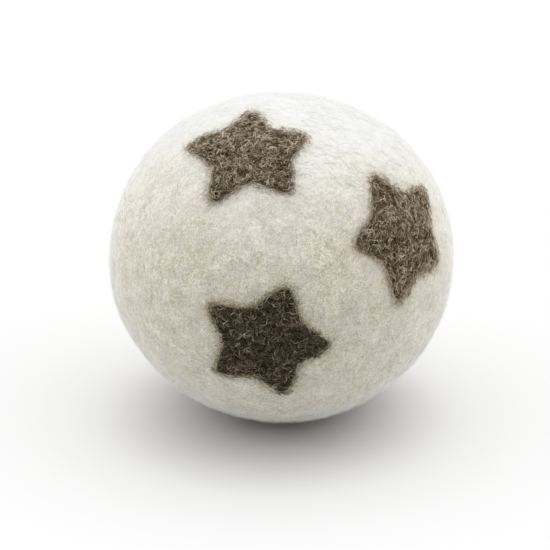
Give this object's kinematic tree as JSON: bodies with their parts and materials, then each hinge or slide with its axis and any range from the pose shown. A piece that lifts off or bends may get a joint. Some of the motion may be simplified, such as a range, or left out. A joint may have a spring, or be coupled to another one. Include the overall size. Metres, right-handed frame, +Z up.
{
  "type": "dryer ball",
  "caption": "Felted wool dryer ball, a little wider than tall, with star-shaped felt inlays set level in its skin and a small pressed-flat patch that it rests on.",
  "frame": {"origin": "middle of the flat patch that the ball rests on", "axes": "+Z up, -Y towards the front, with the three front stars, +X to the right seen from the front"},
  "size_m": [0.072, 0.072, 0.0678],
  "materials": {
    "white_felt": "matte, short matted fibres with a faint fuzz",
    "cream_wool": "matte carded wool",
    "grey_wool": "matte carded wool",
    "coarse_wool": "matte coarse wool",
    "brown_felt": "matte, mottled grey-brown fibres"
  },
  "bodies": {
    "root": {"felt_skin": "white_felt", "outer_wrap": "cream_wool", "inner_wrap": "grey_wool", "wool_core": "coarse_wool", "star_upper": "brown_felt", "star_right": "brown_felt", "star_lower": "brown_felt", "star_back_right": "brown_felt", "star_back_left": "brown_felt", "star_back_low": "brown_felt"}
  },
  "joints": []
}
